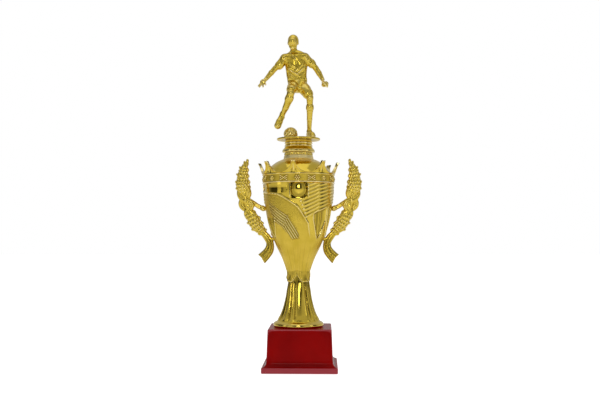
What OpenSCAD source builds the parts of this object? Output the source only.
// Figure trophy: a lidded urn with crown rim and wheat-ear handles on a fluted stem and a
// square plinth, topped by a football player that screws onto the lid.
// Millimetres, +Z up, origin in the middle of the underside, front towards -Y.

/* [Base] */
// Width of the square skirt round the foot of the plinth
skirt_w = 88; // [84:1:100]
// Height of the straight edge of the skirt
skirt_h = 6.5; // [4:0.5:9]
// Width of the plinth box just above the skirt
plinth_w = 77; // [74:1:80]
// Width of the plinth box at its top
plinth_top_w = 74; // [72:1:77]
// Height of the plinth
plinth_h = 50; // [44:1:60]
// Wall thickness of the plinth moulding
plinth_wall = 2.5; // [2:0.1:3]
// How far the plinth stands off the axis of the bowl, to the right seen from the front
plinth_off = 2.3; // [0:0.1:4]

/* [Stem] */
// Diameter of the round foot of the stem
stem_foot_d = 60; // [58:1:66]
// Diameter of the stem at its narrowest
stem_d = 26.8; // [25:0.1:28]
// Length of the stem from the plinth to the floor of the bowl
stem_len = 66; // [60:1:80]
// Wall thickness of the gold mouldings
shell_wall = 2; // [1.6:0.1:2.4]

/* [Bowl] */
// Largest diameter of the bowl
bowl_d = 84; // [80:1:90]
// Height of the bowl from its floor to its rim
bowl_h = 115; // [105:1:125]
// How far the petals under the bowl reach down over the stem
petal_drop = 13; // [6:1:14]

/* [Crown] */
// Number of points on the crown
crown_points = 8; // [6:1:10]
// Height of the jewelled band
band_h = 11; // [9:0.5:13]
// Height of the points above the band
point_h = 14; // [10:1:16]
// Turn of the crown about the vertical axis
crown_turn = -6; // [-20:1:20]

/* [Lid] */
// Height of the bell of the lid above the rim of the bowl
bell_h = 19; // [18:0.5:24]
// Diameter of the collar on top of the bell
collar_d = 34.6; // [30:0.1:36]
// Height of the collar
collar_h = 7.5; // [4:0.5:9]

/* [Figure] */
// Height of the riser under the figure
riser_h = 15.3; // [14:0.1:20]
// Diameter of the disc that the player stands on
disc_d = 52; // [46:1:54]
// Thickness of the disc
disc_t = 2.2; // [1.8:0.1:3]
// Diameter of the ball
ball_d = 17; // [14:0.5:18]

/* [Fasteners] */
// Thread diameter of the tie rod and of the stud in the lid
rod_d = 5; // [4:1:6]
// Radial clearance of the rod in the mouldings
rod_gap = 0.2; // [0.1:0.05:0.4]
// Running clearance of the figure's insert on the stud
insert_gap = 0.05; // [0.02:0.01:0.09]

/* [Hidden] */
$fn = 96;

gold = [0.83, 0.66, 0.22];
lacquer = [0.5, 0.02, 0.02];
zinc = [0.75, 0.76, 0.78];

// Heights, from the table up
pad_t = 1.2;
cover_t = 2.4;
cover_top = pad_t + cover_t;
plinth_foot = 0.4;
skirt_top = skirt_h + 3.6;
stem_top = plinth_h + stem_len - 2;
bowl_floor = plinth_h + stem_len;
floor_t = 3;
rim_z = bowl_floor + bowl_h;
band_z = rim_z - band_h;
tip_z = rim_z + point_h;
bell_top = rim_z + bell_h;
collar_top = bell_top + collar_h;
riser_z = collar_top;
riser_top = riser_z + riser_h;
disc_top = riser_top + disc_t;

// Radii
rod_r = rod_d / 2;
rod_hole_r = rod_r + rod_gap;
bowl_r = bowl_d / 2;
stem_r = stem_d / 2;
foot_r = stem_foot_d / 2;
collar_r = collar_d / 2;
disc_r = disc_d / 2;
rim_r = bowl_r - 1.6;
mouth_r = rim_r - shell_wall;
crown_r = rim_r + 0.1;

// Hardware
washer_r = 1.5 * rod_d;
washer_t = 1;
nut_af = 1.6 * rod_d;
nut_t = 0.8 * rod_d;

// ---- helpers ---------------------------------------------------------------------------

module on_plinth() {
    translate([plinth_off, 0, 0]) children();
}

// A square outline with rounded corners
function rounded_square(w, r, steps = 6) = [
    for (corner = [0:3], i = [0:steps])
        let (a = 90 * corner + 90 * i / steps,
             c = w / 2 - r,
             sx = (corner == 0 || corner == 3) ? 1 : -1,
             sy = (corner < 2) ? 1 : -1)
        [sx * c + r * cos(a), sy * c + r * sin(a)]];

module square_plate(w, r, z0, z1) {
    translate([0, 0, z0]) linear_extrude(z1 - z0) polygon(rounded_square(w, r));
}

// A square frustum between two heights
module square_taper(w0, w1, z0, z1, r) {
    hull() {
        square_plate(w0, r, z0, z0 + 0.01);
        square_plate(w1, r, z1 - 0.01, z1);
    }
}

module at_corners(c) {
    for (sx = [-1, 1], sy = [-1, 1]) translate([sx * c, sy * c, 0]) children();
}

module tube_z(r, z0, z1) {
    translate([0, 0, z0]) cylinder(r = r, h = z1 - z0);
}

module washer(z0) {
    difference() {
        tube_z(washer_r, z0, z0 + washer_t);
        tube_z(rod_hole_r, z0 - 1, z0 + washer_t + 1);
    }
}

// A hexagon nut whose bore meets the rod face to face
module nut(z0) {
    difference() {
        translate([0, 0, z0]) cylinder(d = nut_af / cos(30), h = nut_t, $fn = 6);
        tube_z(rod_r, z0 - 1, z0 + nut_t + 1);
    }
}

// A point on a smooth curve through the points p, at t from 0 to len(p) - 1
function knot(p, i) = p[max(0, min(len(p) - 1, i))];
function curve_at(p, t) =
    let (i = min(len(p) - 2, floor(t)), u = t - i,
         a = knot(p, i - 1), b = knot(p, i), c = knot(p, i + 1), d = knot(p, i + 2))
    (2 * b + (c - a) * u + (2 * a - 5 * b + 4 * c - d) * u * u
        + (3 * b - a - 3 * c + d) * u * u * u) / 2;
function curve(p, steps) = [for (i = [0:steps]) curve_at(p, (len(p) - 1) * i / steps)];

// A bar of rounded links along stations [x, z, half width, half depth along y]
module chain(stations, fn = 14) {
    for (i = [0:len(stations) - 2]) hull() {
        for (q = [stations[i], stations[i + 1]])
            blob([q[0], 0, q[1]], [q[2], q[3], q[2]], [0, 0, 0], fn);
    }
}

// A limb between two balls
module limb(a, ra, b, rb, fn = 18) {
    hull() {
        translate(a) sphere(ra, $fn = fn);
        translate(b) sphere(rb, $fn = fn);
    }
}

module blob(c, size, turn = [0, 0, 0], fn = 22) {
    translate(c) rotate(turn) scale(size) sphere(1, $fn = fn);
}

// ---- base ------------------------------------------------------------------------------

boss_c = 33;
boss_r = 4;
screw_r = 1.3;
inner_w = skirt_w - 2 * plinth_wall;

module base_pad() {
    color([0.08, 0.08, 0.09]) on_plinth() square_plate(inner_w - 1.5, 2, 0, pad_t);
}

module bottom_cover() {
    color([0.12, 0.12, 0.12]) on_plinth() difference() {
        square_plate(inner_w - 0.6, 1.6, pad_t, cover_top);
        at_corners(boss_c) tube_z(screw_r, 0, cover_top + 1);
        at_corners(boss_c) tube_z(2 * screw_r, 0, pad_t + 1);
    }
}

// Four self-tapping screws with flat heads sunk in the cover
module cover_screws() {
    color(zinc) on_plinth() at_corners(boss_c) {
        tube_z(2 * screw_r, pad_t, pad_t + 1);
        tube_z(screw_r, pad_t + 1, cover_top + 8);
    }
}

ballast_w = 56;
ballast_h = 18;

module ballast_block() {
    color([0.35, 0.35, 0.36]) on_plinth()
        square_plate(ballast_w, 2, cover_top, cover_top + ballast_h);
}

rod_seat = plinth_h - 14;

module plinth_shell() {
    cavity_top = plinth_h - plinth_wall;
    color(lacquer) difference() {
        union() {
            on_plinth() difference() {
                union() {
                    square_plate(skirt_w, 1.2, plinth_foot, skirt_h);
                    square_taper(skirt_w - 1, plinth_w + 1, skirt_h, skirt_top, 1.2);
                    square_taper(plinth_w, plinth_top_w, skirt_h, plinth_h, 1.2);
                }
                square_plate(inner_w, 1.6, 0, cover_top);
                square_taper(plinth_w - 2 * plinth_wall, plinth_top_w - 2 * plinth_wall,
                             cover_top - 0.01, cavity_top, 1);
            }
            on_plinth() at_corners(boss_c) tube_z(boss_r, cover_top, cover_top + 16);
            tube_z(9, rod_seat, cavity_top + 1);
        }
        on_plinth() at_corners(boss_c) tube_z(screw_r, cover_top - 1, cover_top + 10);
        tube_z(rod_hole_r, rod_seat - 1, plinth_h + 1);
    }
}

// ---- tie rod and its hardware ----------------------------------------------------------

module tie_rod() {
    color(zinc) tube_z(rod_r, rod_seat - washer_t - nut_t - 3,
                       bowl_floor + floor_t + washer_t + nut_t + 3);
}

module base_washer() {
    color(zinc) washer(rod_seat - washer_t);
}

module base_nut() {
    color(zinc) nut(rod_seat - washer_t - nut_t);
}

module bowl_washer() {
    color(zinc) washer(bowl_floor + floor_t);
}

module bowl_nut() {
    color(zinc) nut(bowl_floor + floor_t + washer_t);
}

// ---- stem ------------------------------------------------------------------------------

// Outer radius of the trumpet, as [radius, share of the stem's length]
trumpet = [[foot_r - 4.8, 0.11], [foot_r - 8.4, 0.22], [foot_r - 11.7, 0.37],
           [stem_r + 2, 0.56], [stem_r + 0.6, 0.7], [stem_r, 0.8]];

module stem_foot() {
    wall = curve(trumpet, 12);
    color(gold) difference() {
        rotate_extrude() polygon(concat(
            [[0, plinth_h], [foot_r - 1, plinth_h], [foot_r, plinth_h + 1.4],
             [foot_r - 0.5, plinth_h + 4], [foot_r - 3, plinth_h + 6]],
            [for (p = wall) [p[0], plinth_h + p[1] * stem_len]],
            [[stem_r, stem_top], [0, stem_top]]));
        rotate_extrude() polygon(concat(
            [[0, plinth_h - 1], [foot_r - 6, plinth_h - 1]],
            [for (p = wall) [p[0] - shell_wall, plinth_h + p[1] * stem_len]],
            [[stem_r - shell_wall, stem_top - 3], [0, stem_top - 3]]));
        tube_z(rod_hole_r, stem_top - 4, stem_top + 1);
    }
}

// ---- bowl ------------------------------------------------------------------------------

// Outer radius of the bowl as [share of the bowl's radius, share of its height]
urn = [[0.338, 0.0], [0.398, 0.07], [0.502, 0.165], [0.636, 0.265], [0.743, 0.36], [0.81, 0.44],
       [0.868, 0.52], [0.914, 0.61], [0.955, 0.72], [0.978, 0.82], [0.986, 0.9]];

module bowl() {
    wall = curve(urn, 20);
    color(gold) difference() {
        rotate_extrude() polygon(concat(
            [[stem_r + 0.1, bowl_floor - petal_drop], [stem_r + 0.7, bowl_floor - petal_drop]],
            [for (p = wall) [p[0] * bowl_r, bowl_floor + p[1] * bowl_h]],
            [[bowl_r, band_z], [rim_r, band_z], [rim_r, rim_z], [0, rim_z],
             [0, bowl_floor - 2], [stem_r + 0.1, bowl_floor - 2]]));
        rotate_extrude() polygon(concat(
            [[0, bowl_floor + floor_t], [10.5, bowl_floor + floor_t]],
            [for (p = wall) if (p[1] > 0.07)
                [p[0] * bowl_r - shell_wall, bowl_floor + p[1] * bowl_h]],
            [[mouth_r, band_z], [mouth_r, rim_z + 1], [0, rim_z + 1]]));
        tube_z(rod_hole_r, bowl_floor - 3, bowl_floor + floor_t + 1);
        for (s = [-1, 1]) {
            peg(s, arm_z, 20, 60);
            peg(s, tail_z, 15, 60);
        }
    }
}

// ---- crown -----------------------------------------------------------------------------

tip_r = bowl_r + 5.8;
tip_ball_r = 1.6;

// The flared sleeve that the points are cut from
module crown_sleeve() {
    rotate_extrude() polygon([
        [crown_r, band_z], [bowl_r + 1.4, band_z], [bowl_r + 1.4, band_z + 1.4],
        [bowl_r + 0.5, band_z + 1.6], [bowl_r + 0.5, rim_z - 1.6], [bowl_r + 1.4, rim_z - 1.4],
        [bowl_r + 1.4, rim_z + 0.2], [bowl_r + 2, rim_z + 4], [tip_r + 0.6, tip_z],
        [tip_r - 0.8, tip_z], [bowl_r + 0.2, rim_z + 4], [crown_r, rim_z + 0.5]]);
}

// The U between two points: the lower half of an ellipse, cut outwards
module scallop() {
    half_w = PI * tip_r / crown_points - 2.6;
    depth = point_h - 1;
    rim = [for (i = [0:12]) [half_w * cos(180 + 15 * i), depth * sin(180 + 15 * i)]];
    translate([30, 0, tip_z]) rotate([90, 0, 90]) linear_extrude(30)
        polygon([[-half_w, 1], each rim, [half_w, 1]]);
}

module crown_ring() {
    pitch = 360 / crown_points;
    color(gold) rotate([0, 0, crown_turn - 90]) {
        difference() {
            crown_sleeve();
            for (i = [0:crown_points - 1]) rotate([0, 0, (i + 0.5) * pitch]) scallop();
        }
        for (i = [0:crown_points - 1]) rotate([0, 0, i * pitch])
            translate([tip_r - 0.1, 0, tip_z - 0.6]) sphere(tip_ball_r);
    }
}

// ---- handles ---------------------------------------------------------------------------

arm_z = 190;
tail_z = 154;
peg_r = 2.2;

// A peg hole or peg along x on the side s
module peg(s, z, x0, x1, fn = 96) {
    translate([s * x0, 0, z]) rotate([0, 90 * s, 0]) cylinder(r = peg_r, h = x1 - x0, $fn = fn);
}

// Stations down a handle: x, z, half width, half depth
ear_to_tail = [
    [61, 249, 0.8, 0.8], [64.2, 243, 4.2, 3.2], [66.4, 235, 6.9, 4.6], [67.3, 226, 8, 5.4],
    [66.6, 216, 9.7, 5.6], [65, 208, 8, 4.8], [63.8, 200, 9, 4.6], [60.8, 192, 8.2, 4.6],
    [57, 184.5, 7.6, 4.8], [53.4, 176, 8.6, 5.2], [49.4, 169.4, 8.6, 5.2],
    [43.8, 163, 6.2, 4.6], [38.2, 157, 4.3, 4.2], [34.4, 150.4, 4.1, 4.2],
    [34.2, 144, 4.8, 4.4], [37.2, 138, 5.6, 4.4], [41.4, 132.8, 6.1, 4.6]];

// The handle on the side s: -1 for left, 1 for right
module handle(s) {
    color(gold) {
        scale_side(s) {
            chain(ear_to_tail);
            limb([57, 0, 199], 3, [48, 0, 193.2], 2.9);
            limb([48, 0, 193.2], 2.9, [42, 0, arm_z], 2.8);
        }
        peg(s, arm_z, 36.2, 42, 24);
        peg(s, tail_z, 26.8, 35, 24);
    }
}

module scale_side(s) {
    if (s < 0) mirror([1, 0, 0]) children();
    else children();
}

module handle_left() {
    handle(-1);
}

module handle_right() {
    handle(1);
}

// ---- lid -------------------------------------------------------------------------------

lid_r = rim_r - 0.4;
spigot_r = mouth_r - 0.4;
spigot_h = 6;
bell = [[lid_r - 2, 0.13], [lid_r - 4.4, 0.36], [lid_r - 8, 0.58], [lid_r - 14, 0.81],
        [collar_r + 4, 0.94], [collar_r + 0.6, 1]];

module lid_dome() {
    wall = curve(bell, 12);
    color(gold) difference() {
        rotate_extrude() polygon(concat(
            [[0, rim_z - spigot_h], [spigot_r, rim_z - spigot_h], [spigot_r, rim_z],
             [lid_r, rim_z], [lid_r, rim_z + 1.2]],
            [for (p = wall) [p[0], rim_z + p[1] * bell_h]],
            [[collar_r, bell_top], [collar_r, collar_top], [0, collar_top]]));
        rotate_extrude() polygon(concat(
            [[0, rim_z - spigot_h - 1], [spigot_r - shell_wall, rim_z - spigot_h - 1],
             [spigot_r - shell_wall, rim_z]],
            [for (p = wall) [p[0] - shell_wall, rim_z + p[1] * bell_h - 1.2]],
            [[collar_r - 2, collar_top - 3], [0, collar_top - 3]]));
        tube_z(rod_hole_r, collar_top - 4, collar_top + 1);
    }
}

lid_plate_z = collar_top - 3;

module lid_washer() {
    color(zinc) washer(lid_plate_z - washer_t);
}

module lid_nut() {
    color(zinc) nut(lid_plate_z - washer_t - nut_t);
}

riser_floor = 2.5;

module riser_nut() {
    color(zinc) nut(riser_z + riser_floor);
}

stud_top = riser_top;

module lid_stud() {
    color(zinc) tube_z(rod_r, lid_plate_z - washer_t - nut_t - 3, stud_top);
}

// ---- riser -----------------------------------------------------------------------------

riser_r = 16.8;
riser_flange_r = 19.6;
riser_bore_r = 12.6;

module figure_riser() {
    color(gold) difference() {
        rotate_extrude() polygon([
            [0, riser_z], [riser_flange_r - 1.2, riser_z], [riser_flange_r, riser_z + 1],
            [riser_flange_r - 0.2, riser_z + 2.6], [riser_r + 1.4, riser_z + 5.4],
            [riser_r, riser_z + 7.4], [riser_r, riser_z + 8.6],
            [riser_r - 0.9, riser_z + 9.2], [riser_r - 0.9, riser_z + 10.4],
            [riser_r, riser_z + 11], [riser_r, riser_z + 12.2],
            [riser_r - 0.7, riser_z + 12.8], [riser_r - 0.7, riser_top], [0, riser_top]]);
        tube_z(riser_bore_r, riser_z + riser_floor, riser_top + 1);
        tube_z(rod_hole_r, riser_z - 1, riser_z + riser_floor + 1);
    }
}

// ---- figure ----------------------------------------------------------------------------

hub_r = 7;
hub_h = 7.6;
insert_r = 4.4;
sole_peg_r = 1.8;
sole_peg_h = 1.4;
sole = [14.5, -6, disc_top];
ball_pos = [-9.2, -7];
ball_sink = 0.5;

module figure_disc() {
    color(gold) difference() {
        union() {
            rotate_extrude() polygon([[0, riser_top], [disc_r - 0.6, riser_top],
                [disc_r, riser_top + 0.6], [disc_r, disc_top - 0.5], [disc_r - 0.5, disc_top],
                [0, disc_top]]);
            tube_z(hub_r, riser_top - hub_h, riser_top);
        }
        tube_z(insert_r, riser_top - hub_h - 1, riser_top + 0.8);
        translate([sole[0], sole[1], 0]) tube_z(sole_peg_r, disc_top - sole_peg_h, disc_top + 1);
        translate([ball_pos[0], ball_pos[1], 0])
            tube_z(sole_peg_r, disc_top - sole_peg_h, disc_top + 1);
    }
}

// Threaded brass insert moulded into the hub; it turns on the stud
module figure_insert() {
    color([0.8, 0.62, 0.3]) difference() {
        tube_z(insert_r, riser_top - hub_h, riser_top + 0.8);
        tube_z(rod_r + insert_gap, riser_top - hub_h - 1, riser_top + 0.3);
    }
}

// A ball moulded flat where it stands on the disc
module football() {
    r = ball_d / 2;
    color(gold) translate([ball_pos[0], ball_pos[1], 0]) {
        intersection() {
            translate([0, 0, disc_top + (1 - ball_sink) * r]) sphere(r);
            tube_z(r + 1, disc_top, disc_top + ball_d);
        }
        tube_z(sole_peg_r, disc_top - sole_peg_h, disc_top + 0.5);
    }
}

// Joints of the player's body, from the head down; l and r are as seen from the front
head = [-6.6, -2, 391.4];
shoulder_l = [-17, 0, 372.8];
shoulder_r = [7.8, 1, 373.4];
cuff_l = [-23.7, -1, 363.4];
cuff_r = [16.2, 2, 365.4];
elbow_l = [-28.2, -2.2, 359.6];
elbow_r = [20.8, 3, 360.6];
wrist_l = [-39.6, -5.6, 345.6];
wrist_r = [29, -1, 346];
knee_l = [-8.6, -23.6, 326];
knee_r = [13.8, -14, 322.5];
ankle_l = [-18.6, -12.4, 302.4];
ankle_r = [13, -3, 286];
toe_l = [-24.2, -15.8, 288.6];

module player_figure() {
    color(gold) {
        blob(head, [6.6, 7.6, 9.9], [6, 0, 0]);
        limb([-5.6, 0.4, 374], 4.6, [-6.4, -0.6, 384], 4.2);
        // Jersey
        hull() {
            blob([-3.1, 0.5, 370], [12.8, 7, 7]);
            blob([-2.8, 0, 361], [12.5, 7.6, 6]);
            blob([-2.2, 0, 349.5], [11.6, 7.6, 5]);
        }
        limb([-6, 0, 373], 6.5, shoulder_l, 5.2);
        limb([0, 0, 374], 6.5, shoulder_r, 5.2);
        limb(shoulder_l, 5.2, cuff_l, 4.6);
        limb([-14, 0, 368], 5, [-21, -0.5, 363.6], 4.2);
        limb(shoulder_r, 5.2, cuff_r, 4.6);
        // Arms
        limb(cuff_l, 3.4, elbow_l, 3);
        limb(elbow_l, 3, wrist_l, 2.4);
        limb(cuff_r, 3.5, elbow_r, 3.2);
        limb(elbow_r, 3.2, wrist_r, 2.5);
        limb(wrist_l, 2.6, [-43, -7, 341.4], 3.7);
        limb([-44, -7.2, 340.4], 3, [-46.9, -8.8, 336.8], 1.9);
        limb([-42.4, -7.6, 340], 2.2, [-42, -9.2, 336.4], 1.7);
        limb(wrist_r, 2.6, [31, -1.8, 341.4], 3.6);
        blob([31.9, -2, 339.8], [4.9, 4.4, 4]);
        // Shorts
        hull() {
            blob([-2, 0, 345], [11.6, 7.6, 4.5]);
            blob([-6.4, -5, 337.6], [7, 7.4, 6]);
            blob([4, -3, 336.6], [7.4, 7, 6]);
        }
        limb([-6.6, -4, 338.4], 6.9, [-8.2, -15.6, 333.4], 5.8);
        limb([4.2, -2, 338], 7.2, [10.7, -11, 328.4], 6.4);
        // Legs
        limb([-8, -15, 332.5], 5, knee_l, 4.5);
        limb(knee_l, 4.8, [-10.6, -21, 321], 5);
        limb([-10.6, -21, 321], 5, ankle_l, 2.9);
        limb([10.4, -10.6, 328], 5.4, knee_r, 4.5);
        limb(knee_r, 4.5, [13.7, -10.4, 310.6], 4.3);
        limb([13.7, -10.4, 310.6], 4.3, ankle_r, 2.5);
        // Boots
        limb(ankle_l, 3.6, toe_l, 4.4);
        limb([-20, -9.6, 298], 3, toe_l, 4.4);
        hull() {
            translate([12.9, -1, disc_top]) cylinder(r = 3.8, h = 5.5, $fn = 18);
            translate([16.8, -14, disc_top]) cylinder(r = 3.8, h = 3, $fn = 18);
            translate(ankle_r) sphere(3, $fn = 18);
        }
        translate([sole[0], sole[1], disc_top - sole_peg_h])
            cylinder(r = sole_peg_r, h = sole_peg_h + 1, $fn = 32);
    }
}

base_pad();
bottom_cover();
cover_screws();
ballast_block();
plinth_shell();
tie_rod();
base_washer();
base_nut();
stem_foot();
bowl();
bowl_washer();
bowl_nut();
crown_ring();
handle_left();
handle_right();
lid_dome();
figure_riser();
lid_stud();
lid_washer();
lid_nut();
riser_nut();
figure_disc();
figure_insert();
player_figure();
football();
